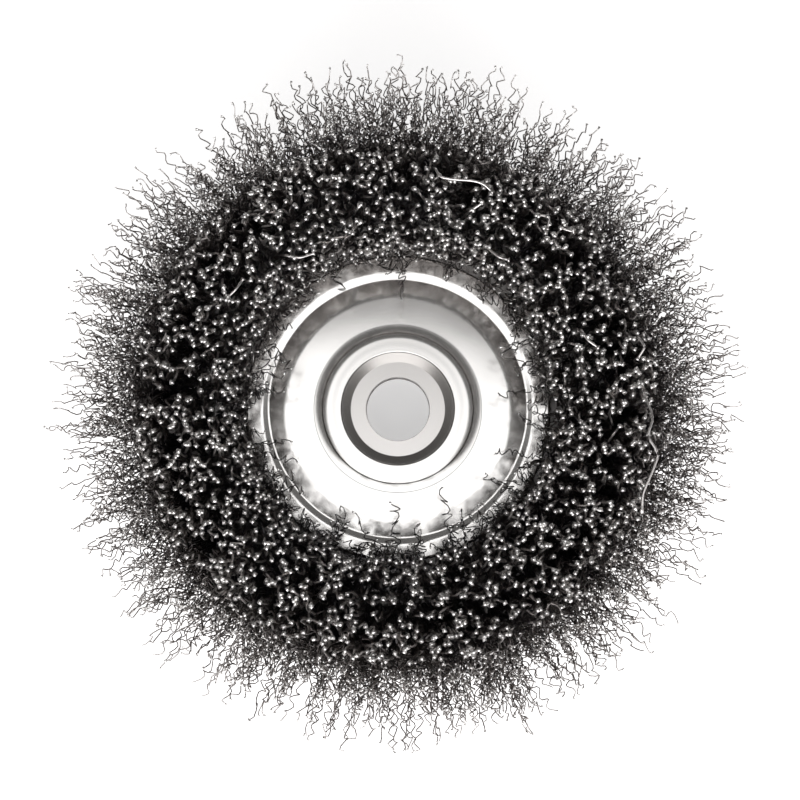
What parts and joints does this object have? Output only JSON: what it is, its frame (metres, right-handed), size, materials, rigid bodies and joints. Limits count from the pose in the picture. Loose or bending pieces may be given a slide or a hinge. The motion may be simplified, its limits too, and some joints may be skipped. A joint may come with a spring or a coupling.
{
  "type": "wire cup brush",
  "caption": "Crimped wire cup brush for an angle grinder: folded steel wires over a core ring in a drawn steel cup, on a threaded hexagon nut.",
  "frame": {"origin": "centre of the nut's back face, on which the brush stands", "axes": "+Z along the spindle axis from the nut towards the wires; +X through a corner of the hexagon, +Y square to one of its flats"},
  "size_m": [0.1226, 0.1241, 0.0566],
  "materials": {
    "nut_steel": "turned and zinc plated carbon steel",
    "cup_steel": "deep drawn sheet steel, zinc plated",
    "plate_steel": "pressed sheet steel, zinc plated",
    "ring_steel": "drawn mild steel wire, bare",
    "brush_wire": "tempered, crimped carbon steel wire, dark"
  },
  "bodies": {
    "root": {"hub_nut": "nut_steel", "outer_cup": "cup_steel", "inner_plate": "plate_steel", "core_ring": "ring_steel", "wires": "brush_wire"}
  },
  "joints": []
}
